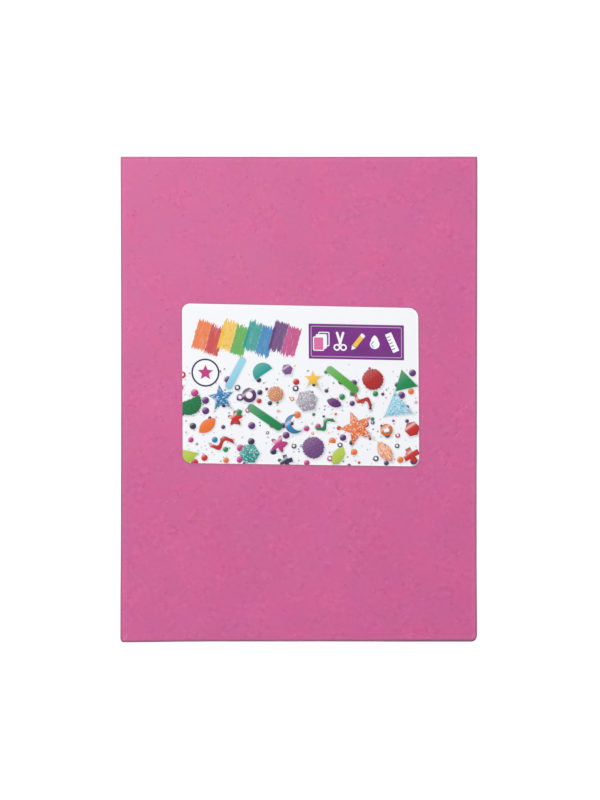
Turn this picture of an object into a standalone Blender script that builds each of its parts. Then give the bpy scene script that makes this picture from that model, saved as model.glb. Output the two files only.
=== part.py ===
# A pack of craft foam sheets: like sheets squared up in a stack, with a paper label stuck on the top one.
# Metres, +Z up. The stack stands on z = 0 with its middle at the origin, the sheets' width along X and
# their length along Y. The top of the label points to +Y.

import math

import bpy

# One sheet
SHEET_WIDTH = 0.229
SHEET_LENGTH = 0.3115
SHEET_THICKNESS = 0.002
CUT_EDGE_ROUND = 0.00035

# Corner radii of a sheet, seen from above with +Y up
CORNER_TOP = 0.0005
CORNER_BOTTOM_LEFT = 0.0020
CORNER_BOTTOM_RIGHT = 0.0036

# The stack. A sheet lies out of line with the top one by up to the two slips, which wave down the stack.
SHEET_COUNT = 10
SHEET_GAP = 0.0003
SLIP_ACROSS = 0.0005
SLIP_ALONG = 0.0004
SLIP_ACROSS_STEP = math.radians(105)
SLIP_ALONG_STEP = math.radians(75)

# The label. Its middle lies off the sheet's middle, and it is turned a little clockwise.
LABEL_WIDTH = 0.152
LABEL_HEIGHT = 0.1024
LABEL_THICKNESS = 0.00015
LABEL_CORNER = 0.0052
LABEL_OFFSET_X = 0.0010
LABEL_OFFSET_Y = 0.0082
LABEL_TURN = math.radians(-0.6)
LABEL_GAP = 0.0003

# Straight steps on each rounded corner, and how near two points are one
SHEET_CORNER_STEPS = 6
LABEL_CORNER_STEPS = 8
MERGE_DISTANCE = 0.00001

FOAM_COLOUR = (0.62, 0.14, 0.31)
FOAM_ROUGHNESS = 0.85
PAPER_COLOUR = (0.90, 0.90, 0.90)
PAPER_ROUGHNESS = 0.45


def clear_scene():
    for obj in list(bpy.data.objects):
        bpy.data.objects.remove(obj, do_unlink=True)


def make_collection(name):
    collection = bpy.data.collections.new(name)
    bpy.context.scene.collection.children.link(collection)
    return collection


def make_material(name, colour, roughness):
    material = bpy.data.materials.new(name)
    material.use_nodes = True
    shader = material.node_tree.nodes["Principled BSDF"]
    shader.inputs["Base Color"].default_value = (*colour, 1.0)
    shader.inputs["Roughness"].default_value = roughness
    shader.inputs["Metallic"].default_value = 0.0
    return material


def rounded_outline(width, height, radii, steps):
    # Points of a rectangle about the origin, anticlockwise. The radii are those of the lower right,
    # upper right, upper left and lower left corners, and each corner is a quarter circle.
    sides = [(1, -1), (1, 1), (-1, 1), (-1, -1)]
    points = []
    for index, ((side_x, side_y), radius) in enumerate(zip(sides, radii)):
        centre_x = side_x * (width / 2 - radius)
        centre_y = side_y * (height / 2 - radius)
        for step in range(steps + 1):
            angle = math.radians(90) * (index - 1 + step / steps)
            points.append((centre_x + radius * math.cos(angle), centre_y + radius * math.sin(angle)))
    return points


def make_flat_piece(name, outline, thickness, collection, material):
    # A flat piece of this outline, with half of its thickness on each side of z = 0.
    curve = bpy.data.curves.new(name, "CURVE")
    curve.dimensions = "2D"
    curve.fill_mode = "BOTH"
    curve.extrude = thickness / 2
    spline = curve.splines.new("POLY")
    spline.points.add(len(outline) - 1)
    for point, (x, y) in zip(spline.points, outline):
        point.co = (x, y, 0.0, 1.0)
    spline.use_cyclic_u = True
    curve.materials.append(material)
    piece = bpy.data.objects.new(name, curve)
    collection.objects.link(piece)
    return piece


def round_cut_edges(piece, radius):
    # The Weld joins the curve's loose caps to its sides, so that the Bevel sees their edges.
    weld = piece.modifiers.new("caps to sides", "WELD")
    weld.merge_threshold = MERGE_DISTANCE
    bevel = piece.modifiers.new("rounded cut edge", "BEVEL")
    bevel.width = radius
    bevel.segments = 2
    bevel.limit_method = "ANGLE"
    bevel.angle_limit = math.radians(60)


def make_sheets(collection, material):
    # From the floor up. The top sheet is in line with the origin, and those below it slip a little.
    radii = [CORNER_BOTTOM_RIGHT, CORNER_TOP, CORNER_TOP, CORNER_BOTTOM_LEFT]
    outline = rounded_outline(SHEET_WIDTH, SHEET_LENGTH, radii, SHEET_CORNER_STEPS)
    for index in range(SHEET_COUNT):
        sheet = make_flat_piece(f"sheet_{index + 1:02d}", outline, SHEET_THICKNESS, collection, material)
        round_cut_edges(sheet, CUT_EDGE_ROUND)
        below_top = SHEET_COUNT - 1 - index
        sheet.location = (
            SLIP_ACROSS * math.sin(below_top * SLIP_ACROSS_STEP),
            SLIP_ALONG * math.sin(below_top * SLIP_ALONG_STEP),
            index * (SHEET_THICKNESS + SHEET_GAP) + SHEET_THICKNESS / 2,
        )


def make_label(collection, material):
    outline = rounded_outline(LABEL_WIDTH, LABEL_HEIGHT, [LABEL_CORNER] * 4, LABEL_CORNER_STEPS)
    label = make_flat_piece("label", outline, LABEL_THICKNESS, collection, material)
    stack_height = SHEET_COUNT * SHEET_THICKNESS + (SHEET_COUNT - 1) * SHEET_GAP
    label.location = (LABEL_OFFSET_X, LABEL_OFFSET_Y, stack_height + LABEL_GAP + LABEL_THICKNESS / 2)
    label.rotation_euler = (0.0, 0.0, LABEL_TURN)


def main():
    clear_scene()
    pack = make_collection("craft_foam_sheets")
    foam = make_material("foam", FOAM_COLOUR, FOAM_ROUGHNESS)
    paper = make_material("label_paper", PAPER_COLOUR, PAPER_ROUGHNESS)
    make_sheets(pack, foam)
    make_label(pack, paper)


main()
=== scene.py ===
# Craft foam sheets squared up in a stack, with a printed paper label stuck on the top one.
# Metres, in the frame of the solids: +X across, +Y towards the top of the label, +Z up.

import math

import bpy
import numpy as np
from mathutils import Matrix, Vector


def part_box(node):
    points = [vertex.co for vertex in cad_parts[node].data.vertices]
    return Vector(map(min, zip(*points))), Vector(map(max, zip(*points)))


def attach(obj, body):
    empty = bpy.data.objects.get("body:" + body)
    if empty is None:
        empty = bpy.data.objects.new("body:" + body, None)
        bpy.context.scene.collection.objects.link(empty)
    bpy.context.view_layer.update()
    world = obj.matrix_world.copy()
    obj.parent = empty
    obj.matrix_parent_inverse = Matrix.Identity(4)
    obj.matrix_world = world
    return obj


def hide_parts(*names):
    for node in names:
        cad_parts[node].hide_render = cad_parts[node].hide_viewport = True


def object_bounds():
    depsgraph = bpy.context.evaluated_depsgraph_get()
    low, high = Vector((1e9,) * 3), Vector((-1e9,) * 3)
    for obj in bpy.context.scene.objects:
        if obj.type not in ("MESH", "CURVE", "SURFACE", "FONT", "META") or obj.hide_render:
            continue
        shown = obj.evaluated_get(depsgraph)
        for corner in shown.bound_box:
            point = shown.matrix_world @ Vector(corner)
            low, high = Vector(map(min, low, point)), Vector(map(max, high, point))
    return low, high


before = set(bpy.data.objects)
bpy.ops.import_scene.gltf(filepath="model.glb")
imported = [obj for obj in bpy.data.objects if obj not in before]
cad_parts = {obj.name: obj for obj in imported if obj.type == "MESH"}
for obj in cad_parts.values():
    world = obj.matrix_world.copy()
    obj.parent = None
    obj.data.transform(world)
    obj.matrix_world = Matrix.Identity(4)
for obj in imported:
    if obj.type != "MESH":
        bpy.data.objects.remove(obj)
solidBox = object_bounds()
mm = 0.001
print("Frame:", len(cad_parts), "solids")


# Shader maths

class Wire:
    # One output of a node. The signs + - * / on wires and numbers add the Math nodes that work them out.

    def __init__(self, tree, socket):
        self.tree = tree
        self.socket = socket

    def node(self, kind, settings, values, output=0):
        # Adds a node: its settings first, then a number, a colour or a wire for each socket named in values.
        made = self.tree.nodes.new(kind)
        for name, setting in settings.items():
            if name == "stops":
                self.setStops(made.color_ramp, setting)
            else:
                setattr(made, name, setting)
        for name, value in values.items():
            if isinstance(value, Wire):
                self.tree.links.new(value.socket, made.inputs[name])
            else:
                made.inputs[name].default_value = value
        if isinstance(output, tuple):
            return [Wire(self.tree, made.outputs[name]) for name in output]
        return Wire(self.tree, made.outputs[output])

    def setStops(self, ramp, stops):
        while len(ramp.elements) < len(stops):
            ramp.elements.new(1.0)
        for element, (place, colour) in zip(ramp.elements, stops):
            element.position = place
            element.color = colour

    def math(self, operation, *values):
        return self.node("ShaderNodeMath", {"operation": operation}, dict(enumerate(values)))

    def vector(self, operation, *values, output="Vector"):
        return self.node("ShaderNodeVectorMath", {"operation": operation}, dict(enumerate(values)), output)

    def __add__(self, other):
        return self.math("ADD", self, other)

    def __radd__(self, other):
        return self.math("ADD", other, self)

    def __sub__(self, other):
        return self.math("SUBTRACT", self, other)

    def __rsub__(self, other):
        return self.math("SUBTRACT", other, self)

    def __mul__(self, other):
        return self.math("MULTIPLY", self, other)

    def __rmul__(self, other):
        return self.math("MULTIPLY", other, self)

    def __truediv__(self, other):
        return self.math("DIVIDE", self, other)

    def __rtruediv__(self, other):
        return self.math("DIVIDE", other, self)

    def __abs__(self):
        return self.math("ABSOLUTE", self)

    def larger(self, other):
        return self.math("MAXIMUM", self, other)

    def smaller(self, other):
        return self.math("MINIMUM", self, other)

    def above(self, other):
        return self.math("GREATER_THAN", self, other)

    def step(self, low, high):
        # 0 at low and 1 at high, with a smooth rise between. low may be the larger one.
        values = {"Value": self, "From Min": low, "From Max": high}
        return self.node("ShaderNodeMapRange", {"interpolation_type": "SMOOTHSTEP", "clamp": False}, values)

    def length(self):
        return self.vector("LENGTH", self, output="Value")

    def parts(self):
        return self.node("ShaderNodeSeparateXYZ", {}, {0: self}, ("X", "Y"))

    def noise(self, scale, detail=2.0, seed=0.0):
        # About 0.5 on the mean. seed moves the pattern to another place.
        moved = self.vector("ADD", self, (seed, seed * 1.7, 0.0))
        values = {"Vector": moved, "Scale": scale, "Detail": detail, "Roughness": 0.55}
        return self.node("ShaderNodeTexNoise", {"noise_dimensions": "3D"}, values)


def mixColour(factor, under, over):
    # Sockets 0, 6 and 7 of a Mix node are the factor and its two colours, and output 2 is their mix.
    wire = next(value for value in (factor, under, over) if isinstance(value, Wire))
    return wire.node("ShaderNodeMix", {"data_type": "RGBA"}, {0: factor, 6: under, 7: over}, 2)


def inkColour(red, green, blue):
    # Screen values 0 to 255 as the linear colour that the nodes take.
    screen = np.array([red, green, blue]) / 255
    linear = np.where(screen <= 0.04045, screen / 12.92, ((screen + 0.055) / 1.055) ** 2.4)
    return (*linear.tolist(), 1.0)


def newMaterial(name):
    material = bpy.data.materials.new(name)
    material.use_nodes = True
    tree = material.node_tree
    return material, tree, tree.nodes["Principled BSDF"]


# Surfaces

def gridLines(half, insets, step):
    # Lines from -half to half: at the insets from both ends, and about one step apart in between.
    inner = half - insets[-1]
    count = max(2, round(2 * inner / step))
    middle = np.linspace(-inner, inner, count + 1)[1:-1]
    return np.concatenate([insets - half, middle, half - insets[::-1]])


def roundCorners(x, y, halfX, halfY, radii):
    # In the square of each corner, a point moves along its ray from the corner's centre until its distance
    # from that centre is the larger of its two offsets, so the square's outer sides become a quarter circle.
    for (signX, signY), radius in radii.items():
        offX = signX * x - (halfX - radius)
        offY = signY * y - (halfY - radius)
        inside = (offX > 0) & (offY > 0)
        pull = np.maximum(offX, offY) / np.maximum(np.hypot(offX, offY), 1e-9)
        x = np.where(inside, signX * (halfX - radius + offX * pull), x)
        y = np.where(inside, signY * (halfY - radius + offY * pull), y)
    return x, y


def waves(x, y, lengths, count, seed):
    # The sum of cosine waves in all directions, with lengths spread between the two given, scaled so that it
    # stays mostly between -1 and 1.
    random = np.random.default_rng(seed)
    low, high = lengths
    total = np.zeros(np.broadcast(x, y).shape)
    for turn, share, phase in random.uniform(0, 1, (count, 3)):
        angle = 2 * math.pi * turn
        size = low * (high / low) ** share
        along = x * math.cos(angle) + y * math.sin(angle)
        total = total + np.cos(2 * math.pi * (along / size + phase))
    return total / math.sqrt(2 * count)


def roundOver(distance, radius):
    # How far a rounded edge has dropped at this distance inside the outline: a quarter circle of that radius.
    short = np.clip(radius - distance, 0, radius)
    return radius - np.sqrt(radius**2 - short**2)


def closedSlab(name, x, y, top, bottom, wallPush):
    # x, y, top and bottom are grids of one shape, with rows along Y. The two faces share their outline, and
    # the wall between them goes straight from face to face, pushed out by wallPush[row] along the outline.
    rows, columns = x.shape
    index = np.arange(rows * columns).reshape(rows, columns)
    rim = np.concatenate([index[0, :-1], index[:-1, -1], index[-1, :0:-1], index[:0:-1, 0]])
    faceTop = np.stack([x, y, top], axis=-1).reshape(-1, 3)
    faceBottom = np.stack([x, y, bottom], axis=-1).reshape(-1, 3)
    run = np.roll(faceTop[rim], -1, axis=0) - np.roll(faceTop[rim], 1, axis=0)
    outward = np.stack([run[:, 1], -run[:, 0], np.zeros(len(rim))], axis=-1)
    outward /= np.linalg.norm(outward, axis=1, keepdims=True)
    share = (np.arange(len(wallPush)) + 1) / (len(wallPush) + 1)
    wall = faceTop[rim] + share[:, None, None] * (faceBottom[rim] - faceTop[rim])
    wall = wall + np.asarray(wallPush)[:, None, None] * outward
    points = np.concatenate([faceTop, faceBottom, wall.reshape(-1, 3)])

    quads = np.stack([index[:-1, :-1], index[:-1, 1:], index[1:, 1:], index[1:, :-1]], axis=-1).reshape(-1, 4)
    wallIndex = 2 * rows * columns + np.arange(wall.shape[0] * len(rim)).reshape(-1, len(rim))
    rings = np.concatenate([rim[None], wallIndex, rim[None] + rows * columns])
    upper, lower = rings[:-1], rings[1:]
    sides = np.stack([upper, lower, np.roll(lower, -1, axis=1), np.roll(upper, -1, axis=1)], axis=-1)
    faces = np.concatenate([quads, quads[:, ::-1] + rows * columns, sides.reshape(-1, 4)])

    mesh = bpy.data.meshes.new(name)
    mesh.from_pydata(points.tolist(), [], faces.tolist())
    mesh.shade_smooth()
    piece = bpy.data.objects.new(name, mesh)
    bpy.context.scene.collection.objects.link(piece)
    return piece


def setFaceValues(piece, name, over, under=None):
    # A value at each point: the grid over for the upper face, under for the lower, and 0 for the wall.
    under = over if under is None else under
    wall = np.zeros(len(piece.data.vertices) - over.size - under.size)
    values = np.concatenate([over.ravel(), under.ravel(), wall]).astype(np.float32)
    piece.data.attributes.new(name, "FLOAT", "POINT").data.foreach_set("value", values)


# Foam sheets

foamLook = {
    "pale": inkColour(220, 98, 154),
    "deep": inkColour(200, 72, 134),
    "coolColour": inkColour(202, 86, 158),
    "fadedColour": inkColour(185, 97, 146),
    "cutColour": inkColour(204, 116, 157),
    # painted shade in the open cells of the cut sides
    "poreShadeColour": inkColour(152, 76, 112),
    # painted shade that darkens the cut sides towards the right
    "sideShadeColour": inkColour(100, 42, 72),
    # painted shade along each sheet's rounded rim, also used for the label's painted shadow
    "rimShadeColour": inkColour(166, 96, 128),
    # painted shade in the gap between two sheets
    "gapShadeColour": inkColour(92, 36, 64),
    # painted highlight along a pale line just inside the rim
    "rimHighlightColour": inkColour(218, 128, 170),
    "creaseColour": inkColour(226, 170, 200),
    # How much of each tint is mixed in where its own pattern is at 1
    "tints": {
        "cool": 0.13, "faded": 0.85, "rim": 0.12, "crease": 0.30, "edge": 0.80, "gapShade": 0.85, "sideShade": 0.46,
    },
    # Noises in the face: waves a mm, detail and seed
    "clouds": (0.03, 2.0, 0.0),
    "patches": (0.10, 3.0, 70.0),
    "mottle": (0.30, 2.0, 40.0),
    "grain": (1.3, 2.0, 90.0),
    "coolClouds": (0.06, 2.0, 120.0),
    "fadedClouds": (0.045, 4.0, 150.0),
    "patchEdge": (0.42, 0.66),  # the noise's values where a patch starts and where it is full
    "coolEdge": (0.46, 0.64),
    "fadedFrom": 0.36,
    "lively": (0.45, 1.9),      # how strong mottle and grain are outside the patches, and what these add
    "cells": 3.2,               # open cells a mm, on the cut sides
    "cellEdge": (0.15, 0.45),
    # How far each pattern shifts the face from its deep to its pale shade, and how high it stands in mm
    "shifts": {"clouds": 0.5, "mottle": 0.9, "grain": 0.5, "pits": 3},
    "heights": {"mottle": 0.05, "grain": 0.02, "cells": 0.06, "crease": 0.06},
    "sideShadeFrom": (-10, 105),   # painted shade: the cut sides are darker to the right, between these places in mm
    "roughness": 0.45,
    "mottleRoughness": 0.12,
    "cutRoughness": 0.95,
    "swell": 0.11 * mm,         # each face stands this far out of its solid, which closes the stack
    "shoulder": 0.45 * mm,      # the cutter rounds a sheet's upper edge
    "lowerEdge": 0.14 * mm,
    "hollow": 0.07 * mm,        # a cut side is this much hollow
    "wallRows": 4,
    "straggle": 0.5,            # the sheets lie out of line by this share of what the solids do
    "fade": 12 * mm,            # only a strip this wide along the outline follows the sides' bulges
    "wobble": 0.05 * mm,
    "wobbleWaves": {"lengths": (0.03, 0.09), "count": 5},
    "rise": 0.07 * mm,          # long waves in the faces
    "riseWaves": {"lengths": (0.05, 0.16), "count": 9},
    "dent": 0.012 * mm,         # short ones
    "dentWaves": {"lengths": (0.006, 0.014), "count": 24},
    "cornerDip": 0.35 * mm,
    "cornerDipSize": 5.0 * mm,
    "step": 1.9 * mm,
    "hiddenStep": 4.0 * mm,
    "insets": np.array([0, 0.02, 0.08, 0.20, 0.40, 0.8, 1.3, 2.0, 2.8, 3.8, 5.2]) * mm,
    "radii": {(1, -1): 3.6 * mm, (1, 1): 0.5 * mm, (-1, 1): 0.5 * mm, (-1, -1): 2.0 * mm},
    # Pits and crumbs: cells a mm, a seed, the share of the cells that have one, and its depth in mm.
    "pits": [(0.28, 13.0, 0.05, 0.15), (0.50, 31.0, 0.07, 0.15)],
    "pitEdge": (0.28, 0.06),    # how far from its middle one starts, in cells, and where it is full
    "pitCrowding": 0.20,        # there are more of them in the patches
    "seed": 11,
    # How far in the painted shade of each side's rounded rim reaches, in mm, at places from -1 to 1
    # along each side.
    "rims": {
        "left": [(0, 1.0)],
        "right": [(0, 1.0)],
        "bottom": [(-0.2, 0.32), (0.8, 0.62)],
        "top": [(0, 1.0)],
    },
    # Bands along the outline, in widths of this painted rim shade: where each one starts and where it is
    # full.
    # The pale line of painted highlight and the painted shade in the gap between sheets have an outer and an
    # inner edge.
    "bands": {
        "cut": (0.12, 0.0), "dark": (1.9, 0.2), "gapShade": ((0.02, 0.18), (1.6, 0.8)),
        "pale": ((1.0, 2.0), (4.0, 2.0)),
    },
    # The label's painted shadow darkens the foam around it: out to this far, in mm, how much, and how far
    # this shadow lies right of and above the label.
    "labelShadow": (2.0, 0.58, (0.25, -0.40)),
    # Creases across the two lower corners, paler in colour along them: both ends in mm from the corner, and a
    # width.
    "creases": {(-1, -1): ((2.4, 0.2), (4.6, 4.6), 0.55), (1, -1): ((3.2, 0.8), (1.3, 3.4), 0.50)},
    # How far the stack's four sides bulge out, in mm, at places from -1 to 1 along each side.
    "bulge": {
        "left": [
            (-1, 0.18), (-0.8, 0.12), (-0.55, -0.06), (0, -0.18), (0.3, -0.15), (0.55, 0.02), (1, 0.36),
        ],
        "right": [
            (-1, -0.10), (-0.67, -0.38), (-0.3, -0.33), (0, -0.10), (0.3, 0.06), (0.8, 0.36), (1, 0.44),
        ],
        "top": [(-1, 0.09), (-0.5, 0.07), (0, 0.01), (0.5, 0.05), (1, 0.09)],
        "bottom": [
            (-1, 0.30), (-0.81, 0.12), (-0.68, -0.12), (-0.5, -0.24), (0.2, -0.27), (0.54, -0.2), (1, -0.15),
        ],
    },
}
sheetNames = sorted(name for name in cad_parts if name.startswith("sheet_"))
stackLow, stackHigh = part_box(sheetNames[-1])
faceMiddle = (stackLow + stackHigh) / 2
halfWidth = (stackHigh.x - stackLow.x) / 2
halfLength = (stackHigh.y - stackLow.y) / 2
slipLimit = (solidBox[1] - solidBox[0] - (stackHigh - stackLow)) / 2


def faceRelief(x, y, above, look=foamLook):
    # The height that the meeting faces of two sheets gain or lose. above is the share of the stack that lies
    # under them: long waves and short dents grow with it, and both lower corners dip.
    long = look["rise"] * above * waves(x, y, **look["riseWaves"], seed=look["seed"])
    short = look["dent"] * above * waves(x, y, **look["dentWaves"], seed=look["seed"] + 1)
    dips = 0
    for sign in (-1, 1):
        offX = halfWidth - sign * x
        offY = halfLength + y
        dips = dips + np.exp(-(np.hypot(offX, offY) / look["cornerDipSize"]) ** 2)
    return long + short - look["cornerDip"] * above**2 * dips


def shapeOutline(x, y, slip, slipLimit, seed, look=foamLook):
    # Each side goes to the stack's bulging side, less how far this sheet's slip leaves it behind there and
    # less its own wobble. Further in, this fades to the slip of the whole sheet.
    random = np.random.default_rng(seed)
    fade = look["fade"]
    shares = [look["straggle"] * slip.x, look["straggle"] * slip.y]
    limits = [look["straggle"] * slipLimit.x, look["straggle"] * slipLimit.y]
    grid, halves = [x, y], [halfWidth, halfLength]
    moves = [np.full(x.shape, shares[0]), np.full(x.shape, shares[1])]
    for side, axis, sign in (("left", 0, -1), ("right", 0, 1), ("bottom", 1, -1), ("top", 1, 1)):
        across, half = grid[axis], halves[axis]
        along, far = grid[1 - axis], halves[1 - axis]
        places, sizes = zip(*look["bulge"][side])
        bulge = np.interp(along / far, places, sizes) * mm
        uneven = waves(along, 0, **look["wobbleWaves"], seed=random.integers(1000))
        wobble = look["wobble"] * (uneven - 1) / 2
        near = np.clip((sign * across - (half - fade)) / fade, 0, 1) ** 2
        moves[axis] = moves[axis] + sign * near * (bulge + wobble - limits[axis])
    return x + moves[0], y + moves[1]


def rimShare(x, y, look=foamLook):
    # How far a point lies in from the outline, as a multiple of the width of the painted rim shade on its
    # side.
    shares = []
    for side, gap, along in (
        ("left", halfWidth + x, y / halfLength), ("right", halfWidth - x, y / halfLength),
        ("bottom", halfLength + y, x / halfWidth), ("top", halfLength - y, x / halfWidth),
    ):
        places, widths = zip(*look["rims"][side])
        shares.append(gap / (np.interp(along, places, widths) * mm))
    return np.minimum.reduce(shares)


def creaseLines(x, y, look=foamLook):
    # exp of minus the squared distance to each crease, over its width.
    total = np.zeros(x.shape)
    for (signX, signY), (start, end, width) in look["creases"].items():
        fromX = (halfWidth - signX * x) / mm - start[0]
        fromY = (halfLength - signY * y) / mm - start[1]
        runX, runY = end[0] - start[0], end[1] - start[1]
        share = np.clip((fromX * runX + fromY * runY) / (runX**2 + runY**2), 0, 1)
        far = np.hypot(fromX - share * runX, fromY - share * runY)
        total = total + np.exp(-(far / width) ** 2)
    return total


def makeSheet(place, name, look=foamLook):
    low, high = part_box(name)
    middle = (low + high) / 2
    top = place == len(sheetNames) - 1
    step = look["step"] if top else look["hiddenStep"]
    lineX = gridLines(halfWidth, look["insets"], step)
    lineY = gridLines(halfLength, look["insets"], step)
    gridX, gridY = np.meshgrid(lineX, lineY)
    inside = np.minimum(halfWidth - abs(gridX), halfLength - abs(gridY))
    x, y = roundCorners(gridX, gridY, halfWidth, halfLength, look["radii"])
    x, y = shapeOutline(x, y, middle - faceMiddle, slipLimit, look["seed"] + place)
    x, y = x + faceMiddle.x, y + faceMiddle.y
    count = len(sheetNames)
    upper = high.z + look["swell"] + faceRelief(x, y, (place + 1) / count)
    lower = low.z - look["swell"] + faceRelief(x, y, place / count)
    if place == 0:
        lower = np.zeros(x.shape)
    rows = look["wallRows"]
    hollow = [-look["hollow"] * math.sin(math.pi * (row + 1) / (rows + 1)) for row in range(rows)]
    shoulder = roundOver(inside, look["shoulder"])
    lip = roundOver(inside, look["lowerEdge"])
    sheet = closedSlab(f"foam_{name}", x, y, upper - shoulder, lower + lip, hollow)
    setFaceValues(sheet, "inside", rimShare(gridX, gridY))
    setFaceValues(sheet, "crease", creaseLines(gridX, gridY) * (1.0 if top else 0.0))
    setFaceValues(sheet, "top", np.full(x.shape, 1.0 if top else 0.0), np.zeros(x.shape))
    return sheet


def foamMaterial(look=foamLook):
    # The face wanders between its pale and deep shades in clouds, mottle and grain, and has cool and faded
    # parts, and small pits and crumbs in loose patches. Painted shade darkens its rounded rim, a painted
    # highlight lies in a pale line just inside it, and the label's painted shadow darkens the foam around the
    # label. The cut sides are deeper by their open cells, painted dark as the shade in them, and by painted
    # shade that grows towards the right. Painted shade also lies in the gap between two sheets.
    material, tree, shader = newMaterial("foam")
    start = Wire(tree, tree.nodes.new("ShaderNodeTexCoord").outputs["Object"])
    point = start.node("ShaderNodeVectorMath", {"operation": "SCALE"}, {0: start, "Scale": 1 / mm})
    inside = start.node("ShaderNodeAttribute", {"attribute_name": "inside"}, {}, "Fac")
    crease = start.node("ShaderNodeAttribute", {"attribute_name": "crease"}, {}, "Fac")
    top = start.node("ShaderNodeAttribute", {"attribute_name": "top"}, {}, "Fac")
    tints, shifts, heights = look["tints"], look["shifts"], look["heights"]

    clouds = point.noise(*look["clouds"]) - 0.5
    patch = point.noise(*look["patches"]).step(*look["patchEdge"])
    calm, more = look["lively"]
    lively = calm + patch * more
    mottle = (point.noise(*look["mottle"]) - 0.5) * lively
    grain = (point.noise(*look["grain"]) - 0.5) * lively
    pits = patch * 0
    for scale, seed, share, depth in look["pits"]:
        moved = {"Vector": point.vector("ADD", point, (seed, seed, 0.0)), "Scale": scale}
        away, pick = point.node("ShaderNodeTexVoronoi", {"feature": "F1"}, moved, ("Distance", "Color"))
        pick, _ = pick.node("ShaderNodeSeparateColor", {}, {0: pick}, ("Red", "Green"))
        chosen = (abs(pick - 0.5) * 2 + patch * look["pitCrowding"]).above(1.0 - share)
        sign = pick.above(0.5) * 2 - 1
        pits = pits + away.step(*look["pitEdge"]) * chosen * sign * depth
    holes = {"Vector": point, "Scale": look["cells"]}
    fromCell = point.node("ShaderNodeTexVoronoi", {"feature": "F1"}, holes, "Distance")
    openCell = fromCell.step(*look["cellEdge"])

    shade = 0.5 + clouds * shifts["clouds"] + mottle * shifts["mottle"]
    shade = shade + grain * shifts["grain"] - pits * shifts["pits"]
    face = mixColour(shade, look["deep"], look["pale"])
    cool = point.noise(*look["coolClouds"]).step(*look["coolEdge"])
    face = mixColour(cool * tints["cool"], face, look["coolColour"])
    faded = point.noise(*look["fadedClouds"]) - look["fadedFrom"]
    face = mixColour(faded * tints["faded"], face, look["fadedColour"])

    bands = look["bands"]
    # a painted highlight: a pale line just inside the rounded rim
    outer, inner = bands["pale"]
    rim = inside.step(*outer) * inside.step(*inner)
    face = mixColour(rim * tints["rim"], face, look["rimHighlightColour"])
    # paler along the creases
    face = mixColour(crease * tints["crease"], face, look["creaseColour"])
    # the open cells are painted dark as the shade in their hollows
    side = mixColour(openCell, look["poreShadeColour"], look["cutColour"])
    # the label's painted shadow on the foam around it, offset towards the lower right
    reach, share, (right, up) = look["labelShadow"]
    labelShadow = besideLabel(point.vector("SUBTRACT", point, (right, up, 0.0))).step(reach, 0.0) * top * share
    # painted shade along the rounded rim, or the label's painted shadow where that is darker
    dark = (inside.step(*bands["dark"]) * tints["edge"]).larger(labelShadow)
    face = mixColour(dark, face, look["rimShadeColour"])
    # painted shade in the gap between two sheets, on the hidden sheets' faces near the outline
    outer, inner = bands["gapShade"]
    gapShade = inside.step(*outer) * inside.step(*inner) * (1 - top)
    face = mixColour(gapShade * tints["gapShade"], face, look["gapShadeColour"])
    # painted shade: the cut sides grow darker towards the right
    sideShade = point.parts()[0].step(*look["sideShadeFrom"])
    side = mixColour(sideShade * tints["sideShade"], side, look["sideShadeColour"])
    cut = inside.step(*bands["cut"])
    tree.links.new(mixColour(cut, face, side).socket, shader.inputs["Base Color"])

    height = mottle * heights["mottle"] + grain * heights["grain"] - pits
    height = height + cut * openCell * heights["cells"] + crease * heights["crease"]
    bump = {"Height": height, "Distance": mm, "Strength": 1.0}
    tree.links.new(height.node("ShaderNodeBump", {}, bump).socket, shader.inputs["Normal"])
    rough = look["roughness"] + mottle * look["mottleRoughness"]
    rough = rough + cut * (look["cutRoughness"] - look["roughness"])
    tree.links.new(rough.socket, shader.inputs["Roughness"])
    shader.inputs["Specular IOR Level"].default_value = 0.5
    return material


# The label

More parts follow.
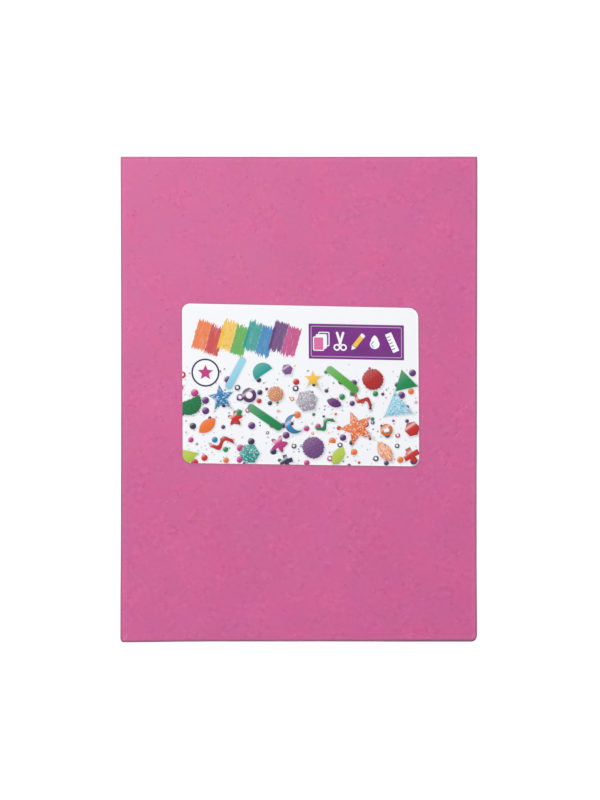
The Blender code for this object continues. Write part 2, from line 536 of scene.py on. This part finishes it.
inks = {
    "orange": inkColour(238, 118, 48),
    "red": inkColour(206, 42, 40),
    "yellow": inkColour(244, 196, 70),
    "leaf": inkColour(88, 172, 66),
    "emerald": inkColour(24, 140, 82),
    "teal": inkColour(28, 156, 148),
    "sky": inkColour(150, 212, 232),
    "azure": inkColour(36, 130, 186),
    "purple": inkColour(102, 46, 116),
    "violet": inkColour(134, 84, 150),
    "magenta": inkColour(196, 58, 130),
    "navy": inkColour(54, 50, 82),
    "silver": inkColour(176, 170, 180),
    "apricot": inkColour(246, 170, 124),
    "lime": inkColour(182, 204, 74),
    "pink": inkColour(222, 112, 164),
    "white": inkColour(250, 250, 250),
    "black": inkColour(40, 38, 44),
}
labelLook = {
    "width": 151.7 * mm,
    "height": 102.25 * mm,
    "shift": Vector((0.10, 0.08, 0.0)) * mm,    # the paper's middle from its solid's
    # The label is turned a little and cut a little askew: along its lower and upper edge it drops to the
    # right by the two slopes, and its sides lean.
    "radii": {(1, -1): 5.0 * mm, (1, 1): 6.0 * mm, (-1, 1): 5.2 * mm, (-1, -1): 5.2 * mm},
    "slopes": (-0.0144, -0.0202),
    "lean": -0.006,
    "thickness": 0.12 * mm,
    "seat": 0.03 * mm,          # how far the paper lies over the foam
    "curl": 0.09 * mm,          # how far its corners have lifted
    "curlSize": 13 * mm,
    "rimRound": 0.03 * mm,
    "step": 2.2 * mm,
    "insets": np.array([0, 0.03, 0.3, 0.8, 1.4, 2.2, 3.0, 3.8, 4.6, 5.2, 6.2]) * mm,
    "paper": inkColour(245, 244, 249),
    "haze": inkColour(246, 249, 249),
    "margin": inkColour(255, 250, 254),
    "roughness": 0.5,
    # From here on, sizes and places on the print are in mm from its middle. A noise has waves a mm, detail
    # and seed.
    "hazeNoise": (0.03, 2.0, 60.0),
    "peel": (0.30, 3.0, 15.0),
    "peelHeight": 0.035,
    "peelRoughness": 0.1,
    "fibre": (2.4, 2.0, 33.0),
    "fibreHeight": 0.006,
    "fuzz": (1.1, 4.0, 5.0),
    "fray": 2.6,                # how far a fuzzy outline wanders
    "glitter": 1.5,             # flakes a mm
    "edgeBlur": 0.4,
    "shadow": {"drop": 0.9, "inset": 0.2, "blur": 2.4, "share": 0.34},
    "lightShare": 0.14,         # a motif is this much lighter above left
    "darkShare": 0.30,          # and this much deeper below right
    # Two layers of beads: the size of a cell, a seed, the beads' radii, and the share of cells with a bead
    "scatter": [
        {"cell": 2.8, "seed": 300, "sizes": (0.15, 0.55), "share": 0.30,
         "inks": ["sky", "yellow", "pink", "silver", "leaf", "azure"]},
        {"cell": 7.4, "seed": 200, "sizes": (0.8, 2.5), "share": 0.72,
         "inks": ["purple", "red", "navy", "emerald", "purple", "orange", "azure", "navy", "magenta"]},
    ],
    "panel": {
        "x": 36.0, "y": 28.5, "halfX": 30.6, "halfY": 11.3,
        "deep": inkColour(108, 36, 120), "pale": inkColour(132, 52, 142),
        "sheets": -22.5, "scissors": -10.4, "pencil": 0.9, "glue": 11.8, "ruler": 23.0,
        "tickPitch": 2.1,
    },
    "badge": {"x": -61.0, "y": 7.0, "radius": 9.2, "ring": 1.1, "star": 5.2},
    "strokes": {
        "inks": ["orange", "red", "yellow", "leaf", "teal", "azure", "purple", "magenta"],
        "x": -34.5, "y": 29.5, "pitch": 8.2, "halfWidth": 4.4, "halfLength": 9.5, "lean": -16, "zigzag": 1.6,
        "sway": 1.6, "fray": 10,
    },
    # Shape, x, y, size, turn in degrees, ink and finish
    "motifs": [
        ("stick", -41.5, 7, 11.5, 62, "sky", "plain"),
        ("halfMoon", -24, 7.5, 6.6, 35, "teal", "plain"),
        ("hexagon", -8.5, 10, 3.6, 10, "violet", "gem"),
        ("star", 8, 4, 5.6, 0, "yellow", "plain"),
        ("stick", 27, 4, 12.5, -38, "leaf", "plain"),
        ("pompom", 46.5, 4.5, 6.8, 0, "red", "fuzzy"),
        ("triangle", 67, 3, 8.6, 14, "emerald", "plain"),
        ("halfMoon", -72, -12, 8.4, 205, "emerald", "fuzzy"),
        ("star", -51, -9, 8.6, 9, "azure", "glitter"),
        ("ring", -33, -7, 4.6, 0, "purple", "gem"),
        ("pompom", -16, -6, 5.0, 0, "apricot", "fuzzy"),
        ("hexagon", 4, -10, 7.2, 12, "silver", "glitter"),
        ("leaf", 21.5, -11, 5.0, 70, "purple", "plain"),
        ("wave", 40, -9, 6.6, -24, "red", "gem"),
        ("triangle", 62, -13, 10.5, 8, "sky", "glitter"),
        ("leaf", -60, -27, 6.8, 130, "orange", "plain"),
        ("flower", -42, -22, 5.0, 20, "red", "gem"),
        ("stick", -23, -21, 13, -34, "emerald", "plain"),
        ("crescent", -4, -25, 6.2, 30, "azure", "gem"),
        ("wave", 15.5, -25, 6.4, 40, "emerald", "gem"),
        ("star", 36, -27, 11.5, 21, "orange", "glitter"),
        ("ring", 55, -28, 4.0, 0, "orange", "gem"),
        ("hexagon", 71.5, -27, 5.0, 14, "red", "gem"),
        ("triangle", -73, -47, 7.6, 47, "lime", "plain"),
        ("wave", -51, -38, 7.6, 24, "red", "gem"),
        ("hexagon", -33, -44.5, 6.6, 0, "teal", "glitter"),
        ("flower", -14, -38, 5.6, 5, "magenta", "gem"),
        ("plus", -9.5, -49, 4.2, 15, "navy", "gem"),
        ("pompom", 8, -40, 7.0, 0, "violet", "fuzzy"),
        ("leaf", 24, -45, 6.6, 150, "lime", "plain"),
        ("leaf", 54, -42, 7.6, 35, "apricot", "glitter"),
        ("plus", 71, -44, 5.2, 30, "red", "gem"),
    ],
}
labelLow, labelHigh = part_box("label")
labelMiddle = (labelLow + labelHigh) / 2 + labelLook["shift"]


# The motifs' shapes. Each gives a distance from its outline, below 0 inside, in units of the motif's size.

def discShape(p):
    return p.length() - 1


def ringShape(p):
    return abs(p.length() - 0.74) - 0.26


def crescentShape(p):
    bite = p.vector("ADD", p, (-0.50, 0.10, 0.0)).length()
    return discShape(p).larger(0.86 - bite)


def halfMoonShape(p):
    return discShape(p).larger(-0.15 - p.parts()[1])


def triangleShape(p):
    x, y = p.parts()
    return (abs(x) * 0.866 + y * 0.5).larger(-1 * y) - 0.5


def hexagonShape(p):
    x, y = abs(p.parts()[0]), abs(p.parts()[1])
    return (x * 0.866 + y * 0.5).larger(y) - 0.87


def plusShape(p):
    x, y = abs(p.parts()[0]), abs(p.parts()[1])
    return (x - 1).larger(y - 0.34).smaller((x - 0.34).larger(y - 1))


def stickShape(p):
    # A bar with round ends, five times as long as wide: the distance to a straight line, less 0.2.
    reach = p.vector("SUBTRACT", p.vector("ABSOLUTE", p), (0.8, 0.0, 0.0))
    return p.vector("MAXIMUM", reach, (0.0, 0.0, 0.0)).length() - 0.2


def leafShape(p):
    # Where two discs of radius 1.18 overlap, with its points at y = 1 and y = -1.
    far = p.vector("ADD", p.vector("ABSOLUTE", p), (0.63, 0.0, 0.0))
    return far.length() - 1.18


def waveShape(p):
    x, y = p.parts()
    line = abs(y - (x * 4.4).math("SINE", x * 4.4) * 0.26) * 0.72 - 0.15
    return line.larger(abs(x) - 1)


def starShape(p):
    # The angle is folded into a tenth of a turn, and there the edge is one straight line from tip to notch.
    notch = 0.46
    tenth = math.pi / 5
    x, y = p.parts()
    angle = x.math("ARCTAN2", x, y) + tenth
    folded = abs(angle.math("FLOORED_MODULO", angle, 2 * tenth) - tenth)
    radius = p.length()
    across = math.hypot(1 - notch * math.cos(tenth), notch * math.sin(tenth))
    normalX = notch * math.sin(tenth) / across
    normalY = (1 - notch * math.cos(tenth)) / across
    alongTip = radius * folded.math("COSINE", folded)
    beside = radius * folded.math("SINE", folded)
    return (alongTip - 1) * normalX + beside * normalY


def flowerShape(p):
    x, y = p.parts()
    angle = x.math("ARCTAN2", y, x) * 5
    return p.length() - 0.74 - angle.math("COSINE", angle) * 0.26


shapes = {
    "pompom": discShape, "ring": ringShape, "crescent": crescentShape, "halfMoon": halfMoonShape,
    "triangle": triangleShape, "hexagon": hexagonShape, "plus": plusShape, "stick": stickShape,
    "leaf": leafShape, "wave": waveShape, "star": starShape, "flower": flowerShape,
}


def placed(point, x, y, size=1.0, turn=0.0):
    # The point as seen from (x, y), turned by turn degrees, in units of size.
    values = {
        "Vector": point, "Location": (x, y, 0.0), "Rotation": (0.0, 0.0, math.radians(turn)),
        "Scale": (size, size, 1.0),
    }
    return point.node("ShaderNodeMapping", {"vector_type": "TEXTURE"}, values)


def cover(distance, blur):
    # 1 inside a shape and 0 outside, where distance is in mm and below 0 inside.
    return distance.step(0.5 * blur, -0.5 * blur)


def inked(picture, distance, ink):
    # Prints an ink inside a shape.
    return mixColour(cover(distance, labelLook["edgeBlur"]), picture, ink)


def barShape(point, halfX, halfY, radius):
    # A rectangle with round corners: how far a point lies outside a smaller one, less the radius.
    inner = (halfX - radius, halfY - radius, 0.0)
    reach = point.vector("SUBTRACT", point.vector("ABSOLUTE", point), inner)
    return point.vector("MAXIMUM", reach, (0.0, 0.0, 0.0)).length() - radius


def towards(p, turn):
    # How far a point lies towards the upper left, where the light of the printed pictures comes from.
    angle = math.radians(125 - turn)
    return p.vector("DOT_PRODUCT", p, (math.cos(angle), math.sin(angle), 0.0), output="Value")


def paintMotif(picture, point, textures, motif, look=labelLook):
    # A soft shadow below right, then the shape in its ink, lighter above left and deeper below right. By its
    # finish it sparkles, is fuzzy, or has a dark rim and a highlight.
    shape, x, y, size, turn, ink, finish = motif
    p = placed(point, x, y, size, turn)
    distance = shapes[shape](p) * size
    lit = towards(p, turn)
    if finish == "fuzzy":
        distance = distance + (textures["fuzz"] - 0.5) * look["fray"]
    shadow = look["shadow"]
    under = cover(distance + lit * shadow["drop"] - shadow["inset"], shadow["blur"])
    picture = mixColour(under * shadow["share"], picture, inks["navy"])
    body = mixColour(lit * look["lightShare"], inks[ink], inks["white"])
    body = mixColour(lit * -look["darkShare"], body, inks["black"])
    if finish == "glitter":
        body = mixColour(textures["sparkle"], body, inks["white"])
        body = mixColour(textures["speck"], body, inks["navy"])
    if finish == "fuzzy":
        body = mixColour(textures["fuzz"].step(0.62, 0.42) * 0.45, body, inks["black"])
    if finish == "gem":
        body = mixColour(cover(-1 * distance - 0.5, 1.0) * 0.45, body, inks["black"])
        body = mixColour(lit.step(0.15, 0.45) * lit.step(0.75, 0.45) * 0.45, body, inks["white"])
    return inked(picture, distance, body)


def paintScatter(picture, point, layer):
    # One small disc or ring in each cell of a Voronoi pattern, with its size, kind and ink picked by the
    # cell's random colour. There are none near the label's top, and ever more down to its middle.
    cell, seed = layer["cell"], layer["seed"]
    moved = point.vector("ADD", point, (seed, -seed, 0.0))
    values = {"Vector": moved, "Scale": 1 / cell, "Randomness": 0.85}
    flat = {"voronoi_dimensions": "2D"}
    pick, middle = point.node("ShaderNodeTexVoronoi", flat, values, ("Color", "Position"))
    first, second, third = pick.node("ShaderNodeSeparateColor", {}, {0: pick}, ("Red", "Green", "Blue"))
    offset = moved.vector("SUBTRACT", moved, middle)
    low, high = layer["sizes"]
    size = first * (high - low) + low
    far = offset.length()
    disc = far - size
    ring = abs(far - size * 0.74) - size * 0.26
    distance = disc + (ring - disc) * second.above(0.76)
    crowd = (middle.parts()[1] + seed).step(18, -2) * layer["share"]
    distance = distance + (first * 7.13).math("FRACT", first * 7.13).above(crowd) * 9
    names = layer["inks"]
    stops = [(place / len(names), inks[name]) for place, name in enumerate(names)]
    ink = third.node("ShaderNodeValToRGB", {"stops": stops}, {"Fac": third}, "Color")
    ink.socket.node.color_ramp.interpolation = "CONSTANT"
    lit = towards(offset, 0) / size
    picture = mixColour(cover(distance + lit * size * 0.3 - 0.1, 1.2) * 0.25, picture, inks["navy"])
    body = mixColour(lit.step(0.0, 0.9) * 0.34, ink, inks["white"])
    body = mixColour(lit * -0.35, body, inks["black"])
    return inked(picture, distance, body)


def paintStrokes(picture, point, look=labelLook["strokes"]):
    # A row of leaning brush strokes. Streaks that run along each stroke fray its ends and thin its ink.
    names = look["inks"]
    for place, name in enumerate(names):
        x = look["x"] + (place - (len(names) - 1) / 2) * look["pitch"]
        y = look["y"] + look["zigzag"] * (-1) ** place
        p = placed(point, x, y, 1.0, look["lean"])
        stretched = p.vector("MULTIPLY", p, (1.5, 0.09, 1.0))
        streak = stretched.noise(1.0, 3.0, 7.0 * place)
        soft = point.noise(0.5, 2.0, 3.0 * place)
        px, py = p.parts()
        side = abs(px) - look["halfWidth"] + (soft - 0.5) * look["sway"]
        end = abs(py) - look["halfLength"] + (streak - 0.5) * look["fray"]
        distance = side.larger(end)
        thin = streak.step(0.55, 0.85)
        body = mixColour(thin * 0.55, inks[name], inks["white"])
        body = mixColour(soft.step(0.50, 0.85) * 0.45, body, inks["black"])
        picture = mixColour(cover(distance, 0.6) * 0.93, picture, body)
    return picture


def line(distance, width):
    return abs(distance) - width / 2


def paintPanel(picture, point, look=labelLook["panel"]):
    # A plain purple panel with a row of craft pictograms: sheets, scissors, pencil, glue and ruler.
    white = inks["white"]
    panel = placed(point, look["x"], look["y"])
    back = mixColour(point.noise(0.08, 2.0, 21.0), look["deep"], look["pale"])
    picture = inked(picture, barShape(panel, look["halfX"], look["halfY"], 0.5), back)
    border = line(barShape(panel, look["halfX"] - 1.6, look["halfY"] - 1.6, 0.8), 0.35)
    picture = mixColour(cover(border, labelLook["edgeBlur"]) * 0.55, picture, white)

    for place, ink in enumerate(("violet", "white", "pink")):
        shift = 1.7 * (1 - place)
        page = barShape(placed(panel, look["sheets"] + shift, shift * 0.9), 3.3, 4.3, 0.7)
        picture = inked(picture, page, inks[ink])
        picture = inked(picture, line(page, 0.6), white)

    for side in (-1, 1):
        blade = placed(panel, look["scissors"] + side * 0.9, 2.1, 1.0, side * -17)
        picture = inked(picture, barShape(blade, 0.75, 4.4, 0.7), white)
        handle = placed(panel, look["scissors"] - side * 2.1, -3.7)
        picture = inked(picture, line(handle.length() - 1.7, 0.95), white)

    pencil = placed(panel, look["pencil"], 0.0, 1.0, -38)
    picture = inked(picture, triangleShape(placed(pencil, 0.0, -4.9, 1.75, 180)) * 1.75, white)
    picture = inked(picture, barShape(placed(pencil, 0.0, 0.6), 1.45, 4.3, 0.2), inks["yellow"])
    picture = inked(picture, barShape(placed(pencil, 0.0, 5.2), 1.45, 1.0, 0.6), white)

    drop = placed(panel, look["glue"], -1.2)
    ball = drop.length() - 3.1
    peak = leafShape(placed(drop, 0.0, 1.3, 4.4)) * 4.4
    picture = inked(picture, ball.smaller(peak), white)
    shine = line(placed(drop, 0.0, -0.2).length() - 1.9, 0.5).larger(drop.parts()[0] + 0.4)
    picture = inked(picture, shine, inks["azure"])

    ruler = placed(panel, look["ruler"], 0.0, 1.0, 24)
    picture = inked(picture, barShape(ruler, 2.1, 6.4, 0.4), white)
    rulerX, rulerY = ruler.parts()
    pitch = look["tickPitch"]
    every = abs((rulerY / pitch).math("FRACT", rulerY / pitch + 0.5) - 0.5) * pitch - 0.26
    tick = every.larger(rulerX - 0.2).larger(abs(rulerY) - 5.4).larger(-1.9 - rulerX)
    return inked(picture, tick, inks["purple"])


def paintBadge(picture, point, look=labelLook["badge"]):
    # A round white badge in a dark ring, with a star in it.
    middle = placed(point, look["x"], look["y"])
    distance = middle.length() - look["radius"]
    picture = inked(picture, distance, inks["white"])
    picture = inked(picture, line(distance + 0.7, look["ring"]), inks["navy"])
    star = starShape(placed(middle, 0.0, 0.0, look["star"])) * look["star"]
    return inked(picture, star, inks["magenta"])


def labelShape(point, look=labelLook):
    # How far a point of the print lies outside the paper, in mm.
    return barShape(point, look["width"] / mm / 2, look["height"] / mm / 2, look["radii"][1, 1] / mm)


def labelMaterial(look=labelLook):
    # White paper under a print that is worked out from the label's own UV map, in mm from its middle.
    material, tree, shader = newMaterial("label_paper")
    uv = Wire(tree, tree.nodes.new("ShaderNodeUVMap").outputs["UV"])
    uv.socket.node.uv_map = "print"
    centred = uv.vector("SUBTRACT", uv, (0.5, 0.5, 0.0))
    point = uv.vector("MULTIPLY", centred, (look["width"] / mm, look["height"] / mm, 0.0))
    face = uv.node("ShaderNodeAttribute", {"attribute_name": "printed"}, {}, "Fac")

    fine = {"Vector": point, "Scale": look["glitter"]}
    grit = point.node("ShaderNodeTexVoronoi", {"voronoi_dimensions": "2D"}, fine, "Color")
    bright, dull = grit.node("ShaderNodeSeparateColor", {}, {0: grit}, ("Red", "Green"))
    textures = {
        "fuzz": point.noise(*look["fuzz"]),
        "sparkle": bright.step(0.60, 1.0) * 0.65,
        "speck": dull.step(0.72, 1.0) * 0.50,
    }
    picture = mixColour(point.noise(*look["hazeNoise"]), look["paper"], look["haze"])
    edge = labelShape(point)
    picture = mixColour(edge.step(-1.9, -0.5) * 0.9, picture, look["margin"])
    for layer in look["scatter"]:
        picture = paintScatter(picture, point, layer)
    for motif in look["motifs"]:
        picture = paintMotif(picture, point, textures, motif)
    picture = paintStrokes(picture, point)
    picture = paintPanel(picture, point)
    picture = paintBadge(picture, point)
    tree.links.new(mixColour(face, look["paper"], picture).socket, shader.inputs["Base Color"])

    peel = point.noise(*look["peel"]) - 0.5
    fibre = point.noise(*look["fibre"]) - 0.5
    height = peel * look["peelHeight"] + fibre * look["fibreHeight"]
    bump = {"Height": height, "Distance": mm, "Strength": 1.0}
    tree.links.new(height.node("ShaderNodeBump", {}, bump).socket, shader.inputs["Normal"])
    tree.links.new((look["roughness"] + peel * look["peelRoughness"]).socket, shader.inputs["Roughness"])
    shader.inputs["Specular IOR Level"].default_value = 0.2
    return material


def skewed(x, y, look=labelLook):
    # Each point leans across by its height, and drops by its place across times a slope between the two.
    low, high = look["slopes"]
    slope = (low + high) / 2 + (high - low) / look["height"] * y
    return x + look["lean"] * y + labelMiddle.x, y + slope * x + labelMiddle.y


def besideLabel(point, look=labelLook):
    # How far a point of the foam lies outside the label, in mm, with its skew taken back.
    low, high = look["slopes"]
    x, y = point.vector("SUBTRACT", point, (labelMiddle.x / mm, labelMiddle.y / mm, 0.0)).parts()
    across = x - y * look["lean"]
    up = y - ((low + high) / 2 + y * ((high - low) / look["height"] * mm)) * x
    return labelShape(across.node("ShaderNodeCombineXYZ", {}, {"X": across, "Y": up}))


def makeLabel(look=labelLook):
    # The paper follows the top sheet's relief. Its four corners lift by exp of minus the squared distance
    # from the corner.
    halfX, halfY = look["width"] / 2, look["height"] / 2
    lineX = gridLines(halfX, look["insets"], look["step"])
    lineY = gridLines(halfY, look["insets"], look["step"])
    x, y = np.meshgrid(lineX, lineY)
    inside = np.minimum(halfX - abs(x), halfY - abs(y))
    x, y = roundCorners(x, y, halfX, halfY, look["radii"])
    across, up = x / look["width"] + 0.5, y / look["height"] + 0.5
    curl = look["curl"] * np.exp(-(np.hypot(halfX - abs(x), halfY - abs(y)) / look["curlSize"]) ** 2)
    x, y = skewed(x, y)
    under = stackHigh.z + foamLook["swell"] + faceRelief(x, y, 1.0) + look["seat"] + curl
    over = under + look["thickness"] - roundOver(inside, look["rimRound"])
    label = closedSlab("printed_label", x, y, over, under, [0.0])

    uvOf = np.stack([across, up], axis=-1).reshape(-1, 2)
    wallCount = len(label.data.vertices) - 2 * across.size
    setFaceValues(label, "printed", np.ones(across.shape), np.zeros(across.shape))
    uvOf = np.concatenate([uvOf, uvOf, np.zeros((wallCount, 2))])
    corner = np.empty(len(label.data.loops), np.int32)
    label.data.loops.foreach_get("vertex_index", corner)
    layer = label.data.uv_layers.new(name="print")
    layer.data.foreach_set("uv", uvOf[corner].astype(np.float32).ravel())
    return label


foam = foamMaterial()
for place, name in enumerate(sheetNames):
    sheet = makeSheet(place, name)
    sheet.data.materials.append(foam)
    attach(sheet, "root")
    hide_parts(name)

label = makeLabel()
label.data.materials.append(labelMaterial())
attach(label, "root")
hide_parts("label")
print("Label:", len(label.data.polygons), "faces,", len(label.data.materials[0].node_tree.nodes), "nodes")


# Floor, light and camera

studioLook = {
    "floorSize": 30.0,
    "floorLevel": -0.1 * mm,
    "floorColour": inkColour(200, 200, 200),
    "floorGlow": 0.80,          # the floor is a light table, so the photo's ground is plain white
    "skyColour": (0.97, 0.98, 1.0, 1.0),
    "skyStrength": 0.62,
    "keyPlace": (-0.35, 0.50, 1.30),
    "keySize": 0.5,
    "keyPower": 8.5,
    "tilt": math.radians(3.6),  # the camera leans towards -Y, so that side of the stack just shows
    "lens": 500.0,
    "sensor": 36.0,
    "imageHeight": 800,
    "pixelsPerMm": 1.558,
    "middlePixel": (1.2, 1.9),  # how far the photo's middle lies right of and below the sheet's middle
}


def makeFloor(look=studioLook):
    half = look["floorSize"] / 2
    level = look["floorLevel"]
    mesh = bpy.data.meshes.new("floor")
    corners = [(-half, -half, level), (half, -half, level), (half, half, level), (-half, half, level)]
    mesh.from_pydata(corners, [], [(0, 1, 2, 3)])
    floor = bpy.data.objects.new("floor", mesh)
    bpy.context.scene.collection.objects.link(floor)
    material, _, shader = newMaterial("floor")
    shader.inputs["Base Color"].default_value = look["floorColour"]
    shader.inputs["Roughness"].default_value = 0.9
    shader.inputs["Specular IOR Level"].default_value = 0.0
    shader.inputs["Emission Color"].default_value = (1.0, 1.0, 1.0, 1.0)
    shader.inputs["Emission Strength"].default_value = look["floorGlow"]
    mesh.materials.append(material)


def makeLights(look=studioLook):
    world = bpy.data.worlds.new("sky")
    world.use_nodes = True
    background = world.node_tree.nodes["Background"]
    background.inputs["Color"].default_value = look["skyColour"]
    background.inputs["Strength"].default_value = look["skyStrength"]
    bpy.context.scene.world = world
    light = bpy.data.lights.new("key", "AREA")
    light.shape = "DISK"
    light.size = look["keySize"]
    light.energy = look["keyPower"]
    key = bpy.data.objects.new("key", light)
    key.location = look["keyPlace"]
    key.rotation_euler = (faceMiddle - key.location).to_track_quat("-Z", "Y").to_euler()
    bpy.context.scene.collection.objects.link(key)


def makeCamera(look=studioLook):
    data = bpy.data.cameras.new("camera")
    data.lens = look["lens"]
    data.sensor_width = look["sensor"]      # Blender fits it to the longer side of the picture, its height
    distance = look["lens"] * look["imageHeight"] / look["sensor"] / look["pixelsPerMm"] * mm
    data.clip_end = 3 * distance
    aimX = faceMiddle.x + look["middlePixel"][0] / look["pixelsPerMm"] * mm
    aimY = faceMiddle.y - look["middlePixel"][1] / look["pixelsPerMm"] * mm
    tilt = look["tilt"]
    camera = bpy.data.objects.new("camera", data)
    camera.location = (aimX, aimY - distance * math.sin(tilt), stackHigh.z + distance * math.cos(tilt))
    camera.rotation_euler = (tilt, 0.0, 0.0)
    bpy.context.scene.collection.objects.link(camera)
    bpy.context.scene.camera = camera


makeFloor()
makeLights()
makeCamera()
bpy.context.scene.view_settings.view_transform = "Standard"
print("Stage: floor, sky, key light and camera")
